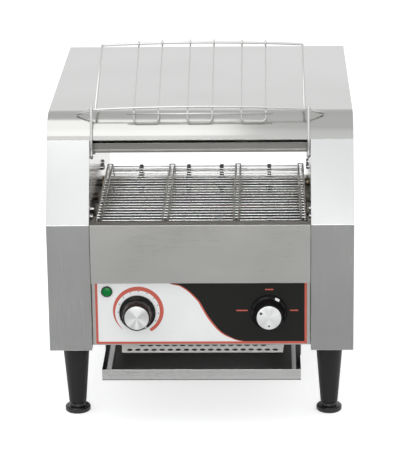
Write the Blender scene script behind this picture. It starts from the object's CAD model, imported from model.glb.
import math
import bpy
from mathutils import Matrix, Vector


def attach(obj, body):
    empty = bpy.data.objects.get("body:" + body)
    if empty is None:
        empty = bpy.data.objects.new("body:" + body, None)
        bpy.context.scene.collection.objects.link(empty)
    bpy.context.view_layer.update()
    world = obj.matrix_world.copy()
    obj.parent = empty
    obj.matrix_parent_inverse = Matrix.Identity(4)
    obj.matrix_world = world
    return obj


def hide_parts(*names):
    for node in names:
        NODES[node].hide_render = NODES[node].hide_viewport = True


# The conveyor toaster's visual model. The CAD nodes get their materials; the wires of belt and rack, the
# knobs and the printed film are built anew in place of their nodes; stage, lamps and camera follow the
# photo.
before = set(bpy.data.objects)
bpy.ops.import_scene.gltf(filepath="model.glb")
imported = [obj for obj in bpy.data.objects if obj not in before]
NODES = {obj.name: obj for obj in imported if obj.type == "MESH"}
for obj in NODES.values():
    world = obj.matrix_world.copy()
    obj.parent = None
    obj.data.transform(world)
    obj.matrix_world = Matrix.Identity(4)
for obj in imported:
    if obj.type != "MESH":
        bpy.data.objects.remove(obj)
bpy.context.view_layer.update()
MM = 0.001
Y_MID = 210.5     # mm from the front columns' plane back to the shared frame's origin
SAME = 1e-6       # metres: two points of a wire nearer than this are one
MOST_CUT = 0.48   # a rounded corner takes at most this share of a side


# ---------------------------------------------------------------- helpers
def P(x, y, z):
    """Millimetres (y from the front columns back, z from the table up) to a place in the shared frame."""
    return Vector((x * MM, (y - Y_MID) * MM, z * MM))


def link(obj, body, mat, smooth=True):
    """An object into the scene with its material, on the body that it moves with."""
    bpy.context.scene.collection.objects.link(obj)
    obj.data.materials.append(mat)
    if smooth:
        for p in obj.data.polygons:
            p.use_smooth = True
    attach(obj, body)
    return obj


def mesh_object(name, verts, faces):
    me = bpy.data.meshes.new(name)
    me.from_pydata([tuple(v) for v in verts], [], faces)
    me.validate()
    me.update()
    return bpy.data.objects.new(name, me)


def ring_faces(rings, sides):
    """Faces over rings of vertices that lie one after the other, with a cap at both ends."""
    faces = []
    for i in range(0, (rings - 1) * sides, sides):
        for k in range(sides):
            j = (k + 1) % sides
            faces.append((i + k, i + j, i + sides + j, i + sides + k))
    last = (rings - 1) * sides
    return faces + [tuple(reversed(range(sides))), tuple(range(last, last + sides))]


def rounded(points, radius, steps=5):
    """The polyline with each inner corner rounded by an arc of about that radius."""
    pts = [Vector(p) for p in points]
    out = [pts[0]]
    for a, b, c in zip(pts, pts[1:], pts[2:]):
        u, v = a - b, c - b
        cut = min(radius, u.length * MOST_CUT, v.length * MOST_CUT)
        p, q = b + u.normalized() * cut, b + v.normalized() * cut
        for i in range(steps + 1):
            t = i / steps
            out.append(p * (1 - t) ** 2 + b * 2 * t * (1 - t) + q * t ** 2)
    out.append(pts[-1])
    return out


def tube(points, r, sides):
    """Vertices and faces of a round wire along a line."""
    pts = [points[0]]
    for p in points[1:]:
        if (p - pts[-1]).length > SAME:
            pts.append(p)
    n = (pts[1] - pts[0]).normalized().orthogonal().normalized()
    verts = []
    for i, p in enumerate(pts):
        before = (p - pts[i - 1]).normalized() if i else Vector()
        after = (pts[i + 1] - p).normalized() if i < len(pts) - 1 else Vector()
        d = (after + before).normalized()
        n = (n - d * n.dot(d)).normalized()
        m = d.cross(n)
        for k in range(sides):
            a = 2 * math.pi * k / sides
            verts.append(p + n * (r * math.cos(a)) + m * (r * math.sin(a)))
    return verts, ring_faces(len(pts), sides)


def wires(name, lines, body, node, mat, sides):
    """One piece made of several wires, each (points, radius), that is shown in place of a CAD node."""
    verts, faces = [], []
    for points, r in lines:
        v, f = tube(points, r, sides)
        faces += [tuple(i + len(verts) for i in q) for q in f]
        verts += v
    obj = link(mesh_object(name, verts, faces), body, mat)
    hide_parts(node)
    return obj


def plate_xz(name, outline, y_front, thick, body, mat):
    """A flat plate with an outline in X-Z, mm, its front face at y_front."""
    n = len(outline)
    verts = [P(x, y_front, z) for x, z in outline] + [P(x, y_front + thick, z) for x, z in outline]
    faces = [tuple(range(n)), tuple(reversed(range(n, 2 * n)))]
    faces += [(i, i + n, (i + 1) % n + n, (i + 1) % n) for i in range(n)]
    return link(mesh_object(name, verts, faces), body, mat, smooth=False)


def disc(cx, cz, r, n=24):
    """Outline of a disc in X-Z."""
    turns = [2 * math.pi * k / n for k in range(n)]
    return [(cx + r * math.cos(a), cz + r * math.sin(a)) for a in turns]


# ---------------------------------------------------------------- shader nodes
FACING = ("ShaderNodeNewGeometry", "True Normal")
PLACE = ("ShaderNodeTexCoord", "Object")
LO, HI = 0.3, 0.7   # nearly all values of a noise lie between these


def put(nt, socket, value):
    """A value into an input: linked if it comes out of another node, else set as a constant."""
    if isinstance(value, bpy.types.NodeSocket):
        nt.links.new(value, socket)
    else:
        socket.default_value = value


def maths(nt, operation, *values):
    """The result of a maths node on outputs or constants."""
    n = nt.nodes.new("ShaderNodeMath")
    n.operation = operation
    for socket, value in zip(n.inputs, values):
        put(nt, socket, value)
    return n.outputs[0]


def mixed(nt, factor, a, b, kind="RGBA"):
    """A mix of two colours, or of two numbers with the kind FLOAT."""
    n = nt.nodes.new("ShaderNodeMix")
    n.data_type = kind
    for key, value in (("Factor", factor), ("A", a), ("B", b)):
        put(nt, n.inputs[key], value)
    return n.outputs["Result"]


def spread(nt, value, from_min, from_max, to_min=0.0, to_max=1.0, curve="LINEAR"):
    """A number taken from one range to another."""
    n = nt.nodes.new("ShaderNodeMapRange")
    n.interpolation_type = curve
    for key, v in (("Value", value), ("From Min", from_min), ("From Max", from_max),
                   ("To Min", to_min), ("To Max", to_max)):
        put(nt, n.inputs[key], v)
    return n.outputs[0]


def parts_of(nt, vector):
    """A vector's X, Y and Z as outputs."""
    n = nt.nodes.new("ShaderNodeSeparateXYZ")
    nt.links.new(vector, n.inputs[0])
    return n.outputs


def z_of(nt, kind, output):
    """The Z part of a face's direction (FACING) or of a place in the object (PLACE)."""
    return parts_of(nt, nt.nodes.new(kind).outputs[output])["Z"]


def coords(nt, scale=(1, 1, 1), shift=(0, 0, 0)):
    """Places in the object for a pattern, scaled per axis and shifted."""
    mp = nt.nodes.new("ShaderNodeMapping")
    mp.inputs["Scale"].default_value = scale
    mp.inputs["Location"].default_value = shift
    nt.links.new(nt.nodes.new("ShaderNodeTexCoord").outputs["Object"], mp.inputs["Vector"])
    return mp.outputs[0]


def noise(nt, vec, scale, detail=3.0, rough=0.5):
    n = nt.nodes.new("ShaderNodeTexNoise")
    for key, value in (("Vector", vec), ("Scale", scale), ("Detail", detail), ("Roughness", rough)):
        put(nt, n.inputs[key], value)
    return n.outputs["Fac"]


def ramp(nt, fac, stops):
    r = nt.nodes.new("ShaderNodeValToRGB")
    e = r.color_ramp.elements
    e[0].position, e[0].color = stops[0]
    e[1].position, e[1].color = stops[-1]
    for pos, col in stops[1:-1]:
        e.new(pos).color = col
    nt.links.new(fac, r.inputs[0])
    return r.outputs[0]


def grey(v):
    return (v, v, v, 1)


def tint(c, k=1.0):
    """A colour made lighter or darker, none of its parts above 1."""
    return tuple(min(v * k, 1) for v in c) + (1,)


def bump(nt, b, height, strength, dist, edge=0.0, wave=None, wave_dist=0.0):
    """Surface relief: fine relief over slow waves over eased edges (lengths in metres)."""
    below = None
    if edge:
        bevel = nt.nodes.new("ShaderNodeBevel")
        bevel.samples = 6
        bevel.inputs["Radius"].default_value = edge
        below = bevel.outputs[0]
    for h, k, d in ((wave, 1.0, wave_dist), (height, strength, dist)):
        if h is None:
            continue
        n = nt.nodes.new("ShaderNodeBump")
        for key, value in (("Strength", k), ("Distance", d), ("Height", h)):
            put(nt, n.inputs[key], value)
        if below is not None:
            nt.links.new(below, n.inputs["Normal"])
        below = n.outputs[0]
    nt.links.new(below, b.inputs["Normal"])


# ---------------------------------------------------------------- materials
# base is a colour, lo and hi are the roughness' ends, edge is the radius of eased edges in metres,
# vary the share by which the colour changes, spec the strength of the shine
ALONG_X, ALONG_Z = (8, 700, 700), (700, 700, 8)   # noise scales that draw brushed streaks along an axis
STREAKS = 0.6          # share of the streaks in a steel's pattern, the rest is clouding
STREAK_DEPTH = 0.00004
DULL_ROUGH = 0.5       # roughness of a dull side
TURN_LINES = 22000     # radians of ring pattern per metre of radius on a turned face


def new_mat(name):
    """A material with nothing but a Principled shader."""
    m = bpy.data.materials.new(name)
    m.use_nodes = True
    nt = m.node_tree
    nt.nodes.clear()
    out = nt.nodes.new("ShaderNodeOutputMaterial")
    b = nt.nodes.new("ShaderNodeBsdfPrincipled")
    nt.links.new(b.outputs[0], out.inputs[0])
    return m, nt, b


def dress(m, nt, b, colour, roughness, **constants):
    """A Principled shader's colour and roughness from patterns, and its constants by their names."""
    nt.links.new(colour, b.inputs["Base Color"])
    nt.links.new(roughness, b.inputs["Roughness"])
    for key, value in constants.items():
        b.inputs[key.replace("_", " ")].default_value = value
    return m


def steel(name, base, lo, hi, grain=ALONG_X, edge=0.0005, strength=0.06, vary=0.03, wave=0.0):
    """Brushed or rolled steel: fine streaks along one direction, faint clouding, eased edges."""
    m, nt, b = new_mat(name)
    streak = noise(nt, coords(nt, grain), scale=4.0, detail=4.0, rough=0.6)
    cloud = noise(nt, coords(nt, (9, 9, 9)), scale=1.0, rough=0.55)
    mix = maths(nt, "MULTIPLY_ADD", streak, STREAKS, maths(nt, "MULTIPLY", cloud, 1 - STREAKS))
    colour = ramp(nt, mix, [(LO, tint(base, 1 - vary)), (0.5, tint(base)), (HI, tint(base, 1 + vary))])
    slow = noise(nt, coords(nt), scale=7.0, detail=1.0, rough=0.4) if wave else None
    bump(nt, b, streak, strength, STREAK_DEPTH, edge, slow, wave)
    return dress(m, nt, b, colour, spread(nt, mix, LO, HI, lo, hi), Metallic=1.0)


def shader_of(m):
    return next(n for n in m.node_tree.nodes if n.type == "BSDF_PRINCIPLED")


def worn_steel(name, bright, dull, lo, hi, metallic=1.0, below=None):
    """Steel with a dull side: the faces that look down, or all that lies below a height in metres."""
    m = steel(name, bright, lo, hi, grain=(8, 600, 600), strength=0.05, vary=0.02)
    nt, b = m.node_tree, shader_of(m)
    if below is None:
        clean = spread(nt, z_of(nt, *FACING), -0.2, 0.2)
    else:
        clean = spread(nt, z_of(nt, *PLACE), below - 0.0003, below + 0.0003)
    for key, low, kind in (("Base Color", tint(dull), "RGBA"), ("Roughness", DULL_ROUGH, "FLOAT")):
        old = b.inputs[key].links[0].from_socket
        nt.links.new(mixed(nt, clean, low, old, kind), b.inputs[key])
    b.inputs["Metallic"].default_value = metallic
    return m


def dull_rim(m, level, dark):
    """Upward faces above a height take a dull tone: a rolled rim that wear has darkened."""
    nt, b = m.node_tree, shader_of(m)
    flat = maths(nt, "GREATER_THAN", z_of(nt, *FACING), 0.9)
    high = maths(nt, "GREATER_THAN", z_of(nt, *PLACE), level)
    old = b.inputs["Base Color"].links[0].from_socket
    nt.links.new(mixed(nt, maths(nt, "MULTIPLY", flat, high), old, tint(dark)), b.inputs["Base Color"])


def plastic(name, base, lo, hi, grain=900, strength=0.15, vary=0.12, spec=0.5):
    """Moulded plastic or rubber with a fine texture and slight colour variation."""
    m, nt, b = new_mat(name)
    fine = noise(nt, coords(nt), grain, detail=2.0)
    cloud = noise(nt, coords(nt), scale=35)
    colour = ramp(nt, cloud, [(LO, tint(base, 1 - vary)), (HI, tint(base, 1 + vary))])
    bump(nt, b, fine, strength, dist=0.00006, edge=0.0004)
    return dress(m, nt, b, colour, spread(nt, cloud, LO, HI, lo, hi), Specular_IOR_Level=spec)


def turned_face(name, at, sectors):
    """Aluminium turned on a lathe: fine rings and the fan-shaped light and dark that they show."""
    m, nt, b = new_mat(name)
    place = parts_of(nt, coords(nt, shift=(-at[0] * MM, 0, -at[1] * MM)))
    x, z = place["X"], place["Z"]
    turn = maths(nt, "MULTIPLY_ADD", maths(nt, "ARCTAN2", x, z), 0.5 / math.pi, 0.5)
    radius = maths(nt, "SQRT", maths(nt, "ADD", maths(nt, "MULTIPLY", x, x), maths(nt, "MULTIPLY", z, z)))
    rings = maths(nt, "SINE", maths(nt, "MULTIPLY", radius, TURN_LINES))
    colour = ramp(nt, turn, [(share, grey(0.97 * tone)) for share, tone in sectors])
    bump(nt, b, rings, strength=0.1, dist=0.00002, edge=0.0004)
    roughness = spread(nt, noise(nt, coords(nt), scale=500), LO, HI, 0.3, 0.42)
    return dress(m, nt, b, colour, roughness, Metallic=0.4)


def printed(name, base, rough=0.38, spec=0.5):
    """Ink on a smooth polycarbonate film: a faint dot pattern under a soft gloss."""
    m, nt, b = new_mat(name)
    fine = noise(nt, coords(nt), scale=1400, detail=2.0, rough=0.6)
    cloud = noise(nt, coords(nt), scale=18, detail=2.0)
    colour = ramp(nt, cloud, [(LO, tint(base, 0.97)), (HI, tint(base, 1.03))])
    bump(nt, b, fine, strength=0.08, dist=0.00003)
    roughness = spread(nt, fine, LO, HI, rough - 0.05, rough + 0.08)
    return dress(m, nt, b, colour, roughness, Specular_IOR_Level=spec)


cover_steel = steel("cover_steel", (0.545, 0.54, 0.52), 0.15, 0.22, wave=0.0016)
column_steel = steel("column_steel", (0.71, 0.715, 0.705), 0.20, 0.28, grain=ALONG_Z, wave=0.0016)
apron_steel = steel("apron_steel", (0.72, 0.712, 0.69), 0.26, 0.34, wave=0.0016)
panel_steel = steel("panel_steel", (0.66, 0.65, 0.63), 0.30, 0.40)
slide_steel = worn_steel("slide_steel", (0.97, 0.96, 0.93), (0.12, 0.12, 0.115), 0.40, 0.52, metallic=0.15)
tray_steel = worn_steel("tray_steel", (0.80, 0.80, 0.785), (0.20, 0.195, 0.19), 0.24, 0.34, below=0.0665)
dull_rim(tray_steel, 0.0775, (0.05, 0.05, 0.048))
wall_steel = steel("wall_steel", (0.58, 0.55, 0.51), 0.10, 0.18, grain=(240, 240, 4))
hidden_steel = steel("hidden_steel", (0.26, 0.26, 0.25), 0.40, 0.52, grain=(8, 600, 600))
low_belt_steel = steel("low_belt_steel", (0.12, 0.115, 0.11), 0.34, 0.46, grain=(60, 60, 60), edge=0)
sooty_steel = steel("sooty_steel", (0.06, 0.056, 0.052), 0.40, 0.55, vary=0.15)
lintel_steel = steel("lintel_steel", (0.32, 0.314, 0.30), 0.26, 0.36)
wire_steel = steel("wire_steel", (0.80, 0.795, 0.78), 0.32, 0.40, grain=(60, 60, 60), edge=0, strength=0.02)
belt_steel = steel("belt_steel", (0.93, 0.925, 0.91), 0.20, 0.30, grain=(60, 60, 60), edge=0, strength=0.05,
                   vary=0.06)
screw_steel = steel("screw_steel", (0.52, 0.52, 0.525), 0.16, 0.26, grain=(90, 90, 90))
machined_steel = steel("machined_steel", (0.18, 0.18, 0.18), 0.36, 0.48, grain=(120, 120, 120), vary=0.1)
heater_metal = steel("heater_metal", (0.20, 0.17, 0.145), 0.38, 0.52, grain=(40, 40, 40), vary=0.2)
bronze = steel("bearing_bronze", (0.55, 0.42, 0.22), 0.34, 0.46, grain=(90, 90, 90), vary=0.1)
black_leg = plastic("leg_plastic", (0.008, 0.008, 0.0075), 0.38, 0.46, grain=1100, spec=0.27)
foot_rubber = plastic("foot_rubber", (0.008, 0.008, 0.008), 0.20, 0.30, grain=700, strength=0.08)
knob_black = plastic("knob_plastic", (0.007, 0.007, 0.007), 0.12, 0.17, grain=1200, strength=0.03, spec=0.2)
fan_black = plastic("fan_plastic", (0.02, 0.02, 0.02), 0.38, 0.5)
ceramic = plastic("ceramic", (0.72, 0.68, 0.60), 0.30, 0.45, grain=500, vary=0.05)
bezel_dark = plastic("bezel_plastic", (0.012, 0.020, 0.016), 0.25, 0.35)
lens_green = plastic("lens_green", (0.003, 0.18, 0.036), 0.20, 0.28, grain=260, strength=0.25, vary=0.15,
                     spec=0.2)
motor_paint = plastic("motor_paint", (0.05, 0.055, 0.06), 0.35, 0.5, grain=300)
control_plastic = plastic("control_plastic", (0.03, 0.06, 0.045), 0.4, 0.5)
film_white = printed("film_white", (0.83, 0.835, 0.83))
film_black = printed("film_black", (0.010, 0.0098, 0.009), 0.34, 0.28)
film_red = printed("film_red", (0.56, 0.115, 0.08), 0.36, 0.4)
film_dot = printed("film_dot", (0.05, 0.05, 0.05))
mark_white = printed("mark_white", (0.80, 0.80, 0.80))

# centres in X-Z of the two knobs and of the crescent printed round the left one, mm
SPEED, HEAT, SCALE = (-77.1, 145.0), (82.0, 145.0), (-76.1, 147.0)
# tones round each turned face: (share of a turn, tone)
SPEED_TONES = [(0.0, 1.0), (0.07, 0.62), (0.14, 0.95), (0.25, 0.72), (0.36, 0.66), (0.43, 0.98), (0.5, 1.0),
               (0.57, 0.98), (0.66, 0.60), (0.75, 0.66), (0.86, 0.95), (0.93, 0.62), (1.0, 1.0)]
HEAT_TONES = [(0.0, 0.97), (0.12, 0.80), (0.25, 0.93), (0.38, 0.99), (0.46, 0.84), (0.5, 0.95),
              (0.56, 0.84), (0.66, 1.0), (0.75, 0.92), (0.88, 0.82), (1.0, 0.97)]
ASSIGN = {
    "side_panel_left": column_steel, "side_panel_right": column_steel, "top_cover": cover_steel,
    "rear_panel": cover_steel, "base_pan": hidden_steel, "front_apron": apron_steel,
    "control_panel": panel_steel, "control_film": film_white, "lamp_bezel": bezel_dark,
    "lamp_lens": lens_green, "inner_wall_left": wall_steel, "inner_wall_right": wall_steel,
    "lintel": lintel_steel, "upper_reflector": wall_steel, "lower_reflector": sooty_steel,
    "upper_heaters": heater_metal, "lower_heaters": heater_metal, "heater_caps": ceramic,
    "belt_top_run": belt_steel, "belt_rear_wrap": belt_steel, "belt_bottom_run": belt_steel,
    "belt_front_wrap": belt_steel, "front_shaft": machined_steel, "front_sprockets": machined_steel,
    "rear_shaft": machined_steel, "rear_sprockets": machined_steel, "shaft_bearings": bronze,
    "wall_screws": screw_steel, "drive_chain": machined_steel, "chain_wheel": machined_steel,
    "motor_shaft": machined_steel, "motor_wheel": machined_steel, "gear_motor": motor_paint,
    "fan_frame": fan_black, "fan_rotor": fan_black, "slide_grille": slide_steel,
    "rear_slide": slide_steel, "bread_tray": tray_steel, "tray_rails": hidden_steel,
    "legs": black_leg, "foot_front_left": foot_rubber, "foot_front_right": foot_rubber,
    "foot_rear_left": foot_rubber, "foot_rear_right": foot_rubber, "leg_bolts": screw_steel,
    "rack_frame": wire_steel, "rack_hairpins": wire_steel, "rack_rod": wire_steel,
    "rack_legs": wire_steel, "rack_studs": screw_steel, "speed_knob": knob_black,
    "speed_knob_face": turned_face("speed_face", SPEED, SPEED_TONES),
    "speed_spindle": machined_steel, "speed_control": control_plastic, "heat_knob": knob_black,
    "heat_knob_face": turned_face("heat_face", HEAT, HEAT_TONES),
    "heat_spindle": machined_steel, "heat_switch": control_plastic, "rear_screws": screw_steel,
    "cord_gland": black_leg,
}
for name, obj in NODES.items():
    obj.data.materials.clear()
    obj.data.materials.append(ASSIGN[name])


def cosd(a):
    return math.cos(math.radians(a))


def sind(a):
    return math.sin(math.radians(a))


# ---------------------------------------------------------------- wire belt
# mm and degrees, as in the part
PITCH, RUN = 11.2, 21            # from strand to strand, and the pitches between the shafts
STEP, WRAP = 30, 6               # turn from strand to strand round a shaft, and the strands round it
FRONT_Y, BELT_Z = 46.0, 250.0    # the front shaft, and the strands that carry the bread
WIRE = 1.8
FOOT, HEAD = 2.6, 4.2            # half widths of a linking loop, over all, at its foot and at its head
HALF_BELT = 128.45
PITCH_R = PITCH / (2 * sind(STEP / 2))
AXIS_Z = BELT_Z - PITCH_R
REAR_Y = FRONT_Y + RUN * PITCH
LIFT = WIRE / 2 * (1 + cosd(STEP) + sind(STEP)) + 0.15    # rise of a loop where it passes the next strand
TILT = math.degrees(math.asin(LIFT / PITCH))
EDGE_X = HALF_BELT - HEAD        # middles of the loops at the belt's edges
JOINT_X = EDGE_X / 3 + 1.6       # and of the two between them


def strand_line():
    """Centre line of one strand in its own plane: straight bars and the loops that link them."""
    h = WIRE / 2
    neck, far = PITCH * 0.55, PITCH + 1.6 * WIRE - h
    pts = []
    for c in (-EDGE_X, -JOINT_X, JOINT_X, EDGE_X):
        pts += [(c - FOOT + h, 0), (c - HEAD + h, neck), (c - HEAD + h, far),
                (c + HEAD - h, far), (c + HEAD - h, neck), (c + FOOT - h, 0)]
    return pts


LINE = strand_line()


def strand(y, z, heading):
    """One strand: its bars lie at (y, z), its loops reach from there towards the heading in degrees."""
    a = math.radians(heading + TILT)
    pts = rounded([(x, s * math.cos(a), s * math.sin(a)) for x, s in LINE], 1.6, 3)
    return [P(p.x, y + p.y, z + p.z) for p in pts], WIRE / 2 * MM


def run_of(y, z, heading):
    """The strands of a straight run, from a shaft on."""
    return [strand(y + i * PITCH * cosd(heading), z, heading) for i in range(RUN)]


def wrap_of(y, start):
    """The strands round a shaft; an angle counts from the rear upwards."""
    return [strand(y + PITCH_R * cosd(a), AXIS_Z + PITCH_R * sind(a), a - 90 - STEP / 2)
            for a in range(start, start - WRAP * STEP, -STEP)]


for name, lines, node, mat in (
        ("belt_top_wires", run_of(FRONT_Y, BELT_Z, 0), "belt_top_run", belt_steel),
        ("belt_rear_wires", wrap_of(REAR_Y, 90), "belt_rear_wrap", belt_steel),
        ("belt_bottom_wires", run_of(REAR_Y, AXIS_Z - PITCH_R, 180), "belt_bottom_run", low_belt_steel),
        ("belt_front_wires", wrap_of(FRONT_Y, 270), "belt_front_wrap", belt_steel)):
    wires(name, lines, "body", node, mat, sides=8)

# ---------------------------------------------------------------- feed rack
# mm and degrees, as in the part
SLANT = 26.3                           # the leaning front, from vertical
TOP, CORNER, KINK = 378.0, 40.0, 258.0
SEAM = 103.8                           # from the knee of the front up the lean to the cover's seam
FRAME_R, LEG_R, THIN_R = 1.6, 1.5, 1.2    # radii of the wires: frame, supports, hairpins and cross rod
TOUCH = 0.1                            # between a bent wire and what it goes round
BAY = 132.65                           # half the room between the inner walls
HALF, DEPTH, RISE = BAY - 7.15, 142.0, 46.0    # the rack's half width, and its rear bar from its front bar
BOW = 3.0                              # the bars' rise in the middle
PIN_PITCH, PIN_W, PIN_TILT = 64.5, 29.5, 9     # hairpins: spacing, width, lean of their front ends
RACK_X = BAY - 0.6 - 0.3 - LEG_R       # the two supports
BEND_Y = (TOP - CORNER - KINK + CORNER * sind(SLANT)) / cosd(SLANT) * sind(SLANT) + CORNER * cosd(SLANT)
BEND_Z = TOP - CORNER                  # with BEND_Y: centre of the bend between the lean and the top


def slant_point(s, n):
    """A place (y, z) so far up the lean and so far behind it."""
    return Vector((s * sind(SLANT) + n * cosd(SLANT), KINK + s * cosd(SLANT) - n * sind(SLANT)))


def over_bend(height, lean):
    """A place (y, z) over the cover's bend, seen from its centre at that lean from vertical."""
    return BEND_Y - (CORNER + height) * sind(lean), BEND_Z + (CORNER + height) * cosd(lean)


STUD_R, STUD_S, STUD_N = 1.8, SEAM - 17.3, 5.8
STUD = slant_point(STUD_S, STUD_N)
HOOK_R, EYE_R = STUD_R + TOUCH + LEG_R, FRAME_R + TOUCH + LEG_R
EYE_Y, EYE_Z = over_bend(14.4, 28.8)   # the front bar
REAR_BAR_Y, REAR_BAR_Z = EYE_Y + DEPTH, EYE_Z + RISE
BOW_R = (HALF ** 2 + BOW ** 2) / (2 * BOW)
SLOPE = math.atan2(RISE, DEPTH)
LOW = Vector((EYE_Y - 1.6, EYE_Z - 14.5))      # the bar at the hairpins' front ends
UP = Vector((sind(PIN_TILT), cosd(PIN_TILT)))  # from it up the front ends


def bow(x):
    """Height of a bowed bar over its ends."""
    return BOW - BOW_R + math.sqrt(BOW_R ** 2 - x * x)


def bar(y, z, n=24):
    """A bowed bar from left to right."""
    return [P(x, y, z + bow(min(abs(x), HALF))) for x in [HALF * (2 * i / n - 1) for i in range(n + 1)]]


def arc_yz(x, cy, cz, r, start, turn, n=18):
    """An arc in a plane across X, from a starting angle through a turn in n steps."""
    angles = [start + turn * i / n for i in range(n + 1)]
    return [P(x, cy + r * cosd(a), cz + r * sind(a)) for a in angles]


def rack_frame_lines():
    """One wire that goes up both sides and along the rear, and the front bar."""
    rear = bar(REAR_BAR_Y, REAR_BAR_Z)[-2:0:-1]
    outline = ([P(HALF, EYE_Y, EYE_Z), P(HALF, REAR_BAR_Y, REAR_BAR_Z)] + rear
               + [P(-HALF, REAR_BAR_Y, REAR_BAR_Z), P(-HALF, EYE_Y, EYE_Z)])
    front = [P(-RACK_X - 3, EYE_Y, EYE_Z)] + bar(EYE_Y, EYE_Z) + [P(RACK_X + 3, EYE_Y, EYE_Z)]
    return [(rounded(outline, 3 * MM), FRAME_R * MM), (front, FRAME_R * MM)]


def hairpin(c):
    """From a curl round the rear bar down the slope, across at the front, and back to a second curl."""
    off = FRAME_R + THIN_R + 0.15
    along = Vector((math.cos(SLOPE), math.sin(SLOPE)))
    down = Vector((math.sin(SLOPE), -math.cos(SLOPE)))
    curls, ends = [], []
    for x in (c - PIN_W / 2, c + PIN_W / 2):
        b = Vector((REAR_BAR_Y, REAR_BAR_Z + bow(x)))
        top = b + off * down
        d = LOW - top
        knee = top + along * ((d.x * UP.y - d.y * UP.x) / (along.x * UP.y - along.y * UP.x))
        curls.append(arc_yz(x, b.x, b.y, off, math.degrees(SLOPE) - 90, 270))
        ends.append([P(x, knee.x, knee.y), P(x, LOW.x, LOW.y)])
    middle = rounded([curls[0][0]] + ends[0] + ends[1][::-1] + [curls[1][0]], 5 * MM, 8)
    return curls[0][:0:-1] + middle + curls[1][1:], THIN_R * MM


def cross_rod():
    """Welded in front of the hairpins, a little wider than the three together."""
    at = LOW + 9.4 * UP + (2 * THIN_R + 0.08) * Vector((-UP.y, UP.x))
    half = PIN_PITCH + PIN_W / 2 + 8
    return [P(x, at.x, at.y) for x in (-half, 0, half)], THIN_R * MM


def support(s):
    """One support wire: a hook on the stud, a shank, an eye round the front bar, and a stub outwards."""
    x = s * RACK_X
    knee, bend = slant_point(SEAM - 2, -2.7), slant_point(STUD_S + 4, STUD_N - HOOK_R)
    d = Vector((EYE_Y, EYE_Z)) - knee
    heading = math.degrees(math.atan2(d.y, d.x) + math.asin(EYE_R / d.length))
    hook = arc_yz(x, STUD.x, STUD.y, HOOK_R, 180 - SLANT, 270, 24)[::-1]
    eye = arc_yz(x, EYE_Y, EYE_Z, EYE_R, heading + 90, -210, 20)
    shank = rounded([hook[-1], P(x, bend.x, bend.y), P(x, knee.x, knee.y), eye[0]], 4 * MM)
    stub = rounded(eye[1:] + [P(s * (RACK_X + 18.5), *over_bend(1.7, 20.7))], 1.5 * MM, 3)
    return hook[:-1] + shank + stub[1:], LEG_R * MM


rack = [wires(name, lines, "feed_rack", node, wire_steel, sides) for name, lines, node, sides in (
    ("rack_frame_wires", rack_frame_lines(), "rack_frame", 14),
    ("rack_hairpin_wires", [hairpin(c) for c in (-PIN_PITCH, 0, PIN_PITCH)], "rack_hairpins", 12),
    ("rack_cross_wire", [cross_rod()], "rack_rod", 14),
    ("rack_leg_wires", [support(s) for s in (-1, 1)], "rack_legs", 12))]

# ---------------------------------------------------------------- knobs
KNOB_Y = 8.7        # plane from which a knob's heights are counted towards the front
FACE_TOP = 21.44    # height of the aluminium face
RIM = [(17.05, 17.0), (16.75, 19.4), (16.4, 20.8), (16.0, 21.35), (15.3, 21.55)]
BODY = [(3.02, 0), (21.4, 0), (22.0, 0.7), (22.0, 3.2), (21.4, 4.3), (20.2, 5.2), (18.9, 6.2),
        (18.3, 7.6), (17.9, 10.5), (17.3, 15.0), (16.7, 19.4), (16.3, 20.8), (15.9, 21.35), (15.3, 21.55),
        (14.95, 21.5), (14.9, 20.9), (14.0, 20.72)]
FACE = [(14.8, 20.75), (14.8, 21.2), (14.65, 21.36), (14.4, 21.42), (9.0, FACE_TOP), (0.05, FACE_TOP)]
FLUTES, FLUTE_DEPTH, FLUTE_PHASE = 12, 0.3, 0.6
FLUTE_LOW, FLUTE_HIGH, FLUTE_IN = 6.5, 21.5, 15.5    # heights and the smallest radius that have flutes


def knob_point(at, r, h, a):
    """A place on a knob: radius, height, and angle from the top, clockwise."""
    return P(at[0] + r * math.sin(a), KNOB_Y - h, at[1] + r * math.cos(a))


def fluted(r, h, a):
    """The radius with shallow flutes, which fade towards both ends."""
    if h < FLUTE_LOW or h > FLUTE_HIGH or r < FLUTE_IN:
        return r
    fade = min((h - FLUTE_LOW) / 2.0, 1, max(0.1, (FLUTE_HIGH - h) / 3.0))
    return r - FLUTE_DEPTH * fade * (0.5 - 0.5 * math.cos(FLUTES * a + FLUTE_PHASE)) ** 2


def turned(name, profile, at, body, mat, steps, shape=None):
    """A piece turned round a knob's axis: profile is (radius, height) in mm."""
    verts = []
    for r, h in profile:
        for k in range(steps):
            a = 2 * math.pi * k / steps
            verts.append(knob_point(at, shape(r, h, a) if shape else r, h, a))
    return link(mesh_object(name, verts, ring_faces(len(profile), steps)), body, mat)


def knob(name, at, body, node, shape):
    """A knob's black body and its turned aluminium face, in place of their CAD nodes."""
    o = turned(name, BODY, at, body, knob_black, steps=144, shape=shape)
    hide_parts(node)
    o = turned(name + "_face", FACE, at, body, ASSIGN[node + "_face"], steps=96)
    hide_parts(node + "_face")


def ring_mark(name, at, a0, a1, line, body, lift, n=8):
    """A painted patch on a knob from one angle to another, in degrees, along its (radius, height) line."""
    angles = [math.radians(a0 + (a1 - a0) * i / n) for i in range(n + 1)]
    verts = [knob_point(at, r, h + lift, a) for a in angles for r, h in line]
    k = len(line)
    faces = [(c, c + 1, c + k + 1, c + k) for i in range(n) for c in range(k * i, k * i + k - 1)]
    link(mesh_object(name, verts, faces), body, mark_white)


knob("speed_knob_body", SPEED, "speed_dial", "speed_knob", fluted)
knob("heat_knob_body", HEAT, "heat_dial", "heat_knob", None)
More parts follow.
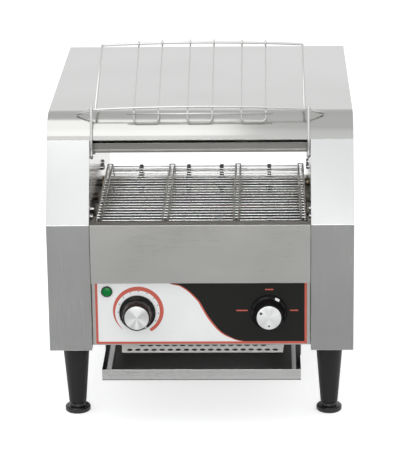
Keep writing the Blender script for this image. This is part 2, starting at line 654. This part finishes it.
# a pointer painted on each knob, and two dots on the heat knob's face
ring_mark("heat_pointer", HEAT, 22, 38, [(21.5, 4.15), (18.9, 6.2)], "heat_dial", 0.1)
ring_mark("speed_pointer", SPEED, 132, 142, RIM, "speed_dial", 0.08)
for i, (dx, dz, r) in enumerate(((-9.6, 5.4, 1.7), (0.0, -10.6, 1.2))):
    outline = disc(HEAT[0] + dx, HEAT[1] + dz, r)
    o = plate_xz("heat_face_dot_%d" % i, outline, KNOB_Y - FACE_TOP - 0.04, 0.03, "heat_dial", film_dot)

# ---------------------------------------------------------------- printed film
FILM_Y = 9.0        # face of the film's base; every print lies a little in front of it
X0, X1, Z0, Z1 = -128.0, 128.0, 104.3, 184.3
EDGE = 2.9          # width of the red border
WAVE = [(-41, Z1), (-35, 181.0), (-25.1, 178.6), (-14.4, 171.2), (-3.8, 159.8), (1.5, 150.6), (6.8, 140.8),
        (12.1, 132.8), (17.5, 125.8), (22.8, 120.1), (28.2, 116.0), (34.7, 112.5), (43.3, 108.8),
        (52, Z0 + EDGE)]    # the line between the white field and the dark one
SCALE_R, SCALE_FROM, SCALE_TURN, SCALE_STEPS = 30.8, -57, 289, 72    # the crescent: outer radius, degrees
TICK_R, TICK_FROM, TICK_STEP, TICKS = 24.6, -32, 24, 11              # the dots inside it
TICK_SIDES = 10
BAR_H = 0.8         # half height of the bars round the heat knob


def spline(pts, n=6):
    """A smooth curve through points, n steps from one to the next (Catmull-Rom)."""
    out = []
    for i in range(len(pts) - 1):
        near = pts[max(i - 1, 0)], pts[i], pts[i + 1], pts[min(i + 2, len(pts) - 1)]
        for k in range(n):
            t = k / n
            out.append(tuple(0.5 * (2 * b + (c - a) * t + (2 * a - 5 * b + 4 * c - d) * t * t
                                    + (3 * b - a - 3 * c + d) * t ** 3) for a, b, c, d in zip(*near)))
    out.append(pts[-1])
    return out


def print_plate(name, outline, over, thick, mat):
    """A flat print, its face so many mm in front of the film's base."""
    plate_xz(name, outline, FILM_Y - over, thick, "body", mat)


def print_faces(name, verts, faces, mat):
    link(mesh_object(name, verts, faces), "body", mat, smooth=False)


def ribbon(name, line, widths, over, mat):
    """A printed line whose width changes along it."""
    n = len(line)
    sides = [], []
    for i, (x, z) in enumerate(line):
        a, b = line[max(i - 1, 0)], line[min(i + 1, n - 1)]
        dx, dz = b[0] - a[0], b[1] - a[1]
        w = widths[i] / 2 / math.hypot(dx, dz)
        sides[0].append(P(x - dz * w, FILM_Y - over, z + dx * w))
        sides[1].append(P(x + dz * w, FILM_Y - over, z - dx * w))
    print_faces(name, sides[0] + sides[1], [(i, i + 1, n + i + 1, n + i) for i in range(n - 1)], mat)


def crescent_width(t):
    """Width of the crescent from its blunt end (0) to its point (1)."""
    if t < 0.5:
        return 4.2 + 0.9 * min(t * 3, 1)
    return 5.1 * (1 - ((t - 0.5) / 0.5) ** 1.6) + 0.25


base = plate_xz("film_base", [(X0, Z0), (X1, Z0), (X1, Z1), (X0, Z1)], FILM_Y, 0.29, "body", film_white)
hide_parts("control_film")
wave = spline(WAVE)
print_plate("film_dark_field", wave + [(X1 - EDGE, Z0 + EDGE), (X1 - EDGE, Z1)], 0.03, 0.02, film_black)
ribbon("film_red_wave", wave, [0.5 + 1.5 * math.sin(math.pi * min(1, (i + 2) / len(wave)))
                               for i in range(len(wave))], 0.06, film_red)
border = [(X0, Z1), (X0, Z0), (X1, Z0), (X1, Z1), (X1 - EDGE, Z1), (X1 - EDGE, Z0 + EDGE),
          (X0 + EDGE, Z0 + EDGE), (X0 + EDGE, Z1)]
print_plate("film_red_border", border, 0.09, 0.02, film_red)

scale_line, scale_widths = [], []
for i in range(SCALE_STEPS + 1):
    t = i / SCALE_STEPS
    a = SCALE_FROM + SCALE_TURN * t
    w = crescent_width(t)
    scale_line.append((SCALE[0] + (SCALE_R - w / 2) * cosd(a), SCALE[1] + (SCALE_R - w / 2) * sind(a)))
    scale_widths.append(w)
ribbon("film_red_scale", scale_line, scale_widths, 0.04, film_red)
print_plate("film_red_scale_end", disc(*scale_line[0], scale_widths[0] / 2), 0.05, 0.01, film_red)
ticks, tick_faces = [], []
for i in range(TICKS):
    a = TICK_FROM + TICK_STEP * i
    tick_faces.append(tuple(range(len(ticks), len(ticks) + TICK_SIDES)))
    outline = disc(SCALE[0] + TICK_R * cosd(a), SCALE[1] + TICK_R * sind(a), 0.7, TICK_SIDES)
    ticks += [P(x, FILM_Y - 0.05, z) for x, z in outline]
print_faces("film_speed_ticks", ticks, tick_faces, film_dot)
for i, (dx, dz, w) in enumerate(((0.5, 28.7, 10), (-32.5, 2.0, 14), (30.5, 2.0, 10))):
    x, z = HEAT[0] + dx, HEAT[1] + dz
    outline = [(x - w / 2, z - BAR_H), (x + w / 2, z - BAR_H),
               (x + w / 2, z + BAR_H), (x - w / 2, z + BAR_H)]
    print_plate("film_heat_mark_%d" % i, outline, 0.05, 0.01, film_red)

# ---------------------------------------------------------------- stage
scene = bpy.context.scene
scene.view_settings.view_transform = "Standard"
FAR, SPLIT = 6000, -130           # mm: how far the floor reaches, and where its front part begins
PALE = (0.90, 0.90, 0.90, 1)      # the floor as the camera sees it
FRONT_TONE = (0.36, 0.36, 0.355, 1)    # the front part as the object sees it
CAMERA_GLOW = 0.55                # added light that keeps the floor pale for the camera


def stage_sheet(name, line, color, mirror):
    """A floor along a (y, z) line: it shows shadows, and glows for the camera and for mirrored rays."""
    verts = [P(x, y, z) for y, z in line for x in (-FAR, FAR)]
    faces = [(2 * i, 2 * i + 1, 2 * i + 3, 2 * i + 2) for i in range(len(line) - 1)]
    o = mesh_object(name, verts, faces)
    scene.collection.objects.link(o)
    m, nt, b = new_mat(name + "_mat")
    rays = nt.nodes.new("ShaderNodeLightPath").outputs
    nt.links.new(mixed(nt, rays["Is Camera Ray"], color, PALE), b.inputs["Base Color"])
    turned_ray = maths(nt, "MAXIMUM", rays["Is Glossy Ray"], rays["Is Transmission Ray"])
    glow = maths(nt, "ADD", maths(nt, "MULTIPLY", rays["Is Camera Ray"], CAMERA_GLOW),
                 maths(nt, "MULTIPLY", turned_ray, mirror))
    nt.links.new(glow, b.inputs["Emission Strength"])
    b.inputs["Emission Color"].default_value = grey(1.0)
    b.inputs["Roughness"].default_value = 0.9
    b.inputs["Specular IOR Level"].default_value = 0.0
    o.data.materials.append(m)
    for p in o.data.polygons:
        p.use_smooth = True


stage_sheet("pale_floor", [(SPLIT, 0), (1700, 0), (FAR, 0)], PALE, 0.36)
stage_sheet("front_floor", [(-FAR, 0), (-600, 0), (SPLIT, 0)], FRONT_TONE, 0.0)

# ---------------------------------------------------------------- world
# The room that the metal mirrors: its level by height (Z of the ray), with a soft brighter patch high in
# front, and darker towards the left and right. The camera itself sees white.
ROOM = [(0.0, 0.74), (0.22, 0.80), (0.29, 0.78), (0.36, 0.58), (0.52, 0.52), (0.80, 0.52), (1.0, 0.56)]
PATCH_AT, PATCH_EDGE, PATCH_GAIN = (0.0, -0.80, 0.60), 0.86, 0.16
MIDDLE_LEVEL, SIDE_LEVEL = 1.4, 1.05
SEEN_WHITE = 1.03

world = bpy.data.worlds.new("studio")
scene.world = world
world.use_nodes = True
nt = world.node_tree
bg = nt.nodes["Background"]
bg.inputs["Color"].default_value = (0.975, 0.988, 1.0, 1)
ray = nt.nodes.new("ShaderNodeTexCoord").outputs["Generated"]
dot = nt.nodes.new("ShaderNodeVectorMath")
dot.operation = "DOT_PRODUCT"
dot.inputs[1].default_value = PATCH_AT
nt.links.new(ray, dot.inputs[0])
patch = spread(nt, dot.outputs["Value"], PATCH_EDGE, 1.0, 0.0, PATCH_GAIN, "SMOOTHERSTEP")
parts = parts_of(nt, ray)
room = ramp(nt, parts["Z"], [(z, grey(v)) for z, v in ROOM])
level = spread(nt, maths(nt, "MULTIPLY", parts["X"], parts["X"]), 0.0, 1.0, MIDDLE_LEVEL, SIDE_LEVEL)
light = maths(nt, "MULTIPLY", maths(nt, "ADD", patch, room), level)
seen = nt.nodes.new("ShaderNodeLightPath").outputs["Is Camera Ray"]
nt.links.new(mixed(nt, seen, light, SEEN_WHITE, "FLOAT"), bg.inputs["Strength"])


# ---------------------------------------------------------------- lamps
def area(name, place, target, size, power):
    """A rectangular lamp that the camera doesn't see; size in metres, power in watts."""
    lamp = bpy.data.lights.new(name, "AREA")
    lamp.shape = "RECTANGLE"
    lamp.size, lamp.size_y = size
    lamp.energy = power
    o = bpy.data.objects.new(name, lamp)
    o.location = place
    o.rotation_euler = (target - place).to_track_quat("-Z", "Y").to_euler()
    o.visible_camera = False
    scene.collection.objects.link(o)
    return o


def lit(lamp, name, objects, state):
    """The lamp lights only these objects (INCLUDE), or all but these (EXCLUDE)."""
    group = bpy.data.collections.new(name)
    for o in objects:
        group.objects.link(o)
    lamp.light_linking.receiver_collection = group
    for entry in group.collection_objects:
        entry.light_linking.link_state = state


front = area("front_soft", P(-100, -3400, 1060), P(0, 150, 200), (2.0, 1.3), 42)
lit(front, "front_spares_rack", rack, "EXCLUDE")     # its highlight would turn the bars white
area("high_soft", P(-245, -100, 780), P(-245, 60, 365), (0.56, 0.56), 0.88)
low = area("low_soft", P(0, -1500, 330), P(0, 60, 82), (0.6, 0.16), 22)
lit(low, "lit_low", [NODES["slide_grille"]], "INCLUDE")    # for the bright floor that the slide mirrors

# ---------------------------------------------------------------- camera, fitted to the photo
CAM_AT = P(77.7155, -2646.4985, 1095.495)
AZIMUTH, HEIGHT, ROLL = math.radians(1.678), math.radians(17.631), math.radians(-0.73)
FOCAL_PX, LONG_SIDE_PX, SENSOR = 2329.66, 457.0, 36.0

cam = bpy.data.cameras.new("camera")
cam.sensor_width = SENSOR
cam.lens = FOCAL_PX * SENSOR / LONG_SIDE_PX
cam.clip_start, cam.clip_end = 0.05, 50
cam_obj = bpy.data.objects.new("camera", cam)
scene.collection.objects.link(cam_obj)
back = Vector((math.sin(AZIMUTH) * math.cos(HEIGHT),
               -math.cos(AZIMUTH) * math.cos(HEIGHT), math.sin(HEIGHT)))
level_right = Vector((math.cos(AZIMUTH), math.sin(AZIMUTH), 0))
level_up = back.cross(level_right)
right = level_right * math.cos(ROLL) + level_up * math.sin(ROLL)
up = level_up * math.cos(ROLL) - level_right * math.sin(ROLL)
cam_obj.matrix_world = Matrix.Translation(CAM_AT) @ Matrix(
    ((right.x, up.x, back.x, 0), (right.y, up.y, back.y, 0), (right.z, up.z, back.z, 0), (0, 0, 0, 1)))
scene.camera = cam_obj
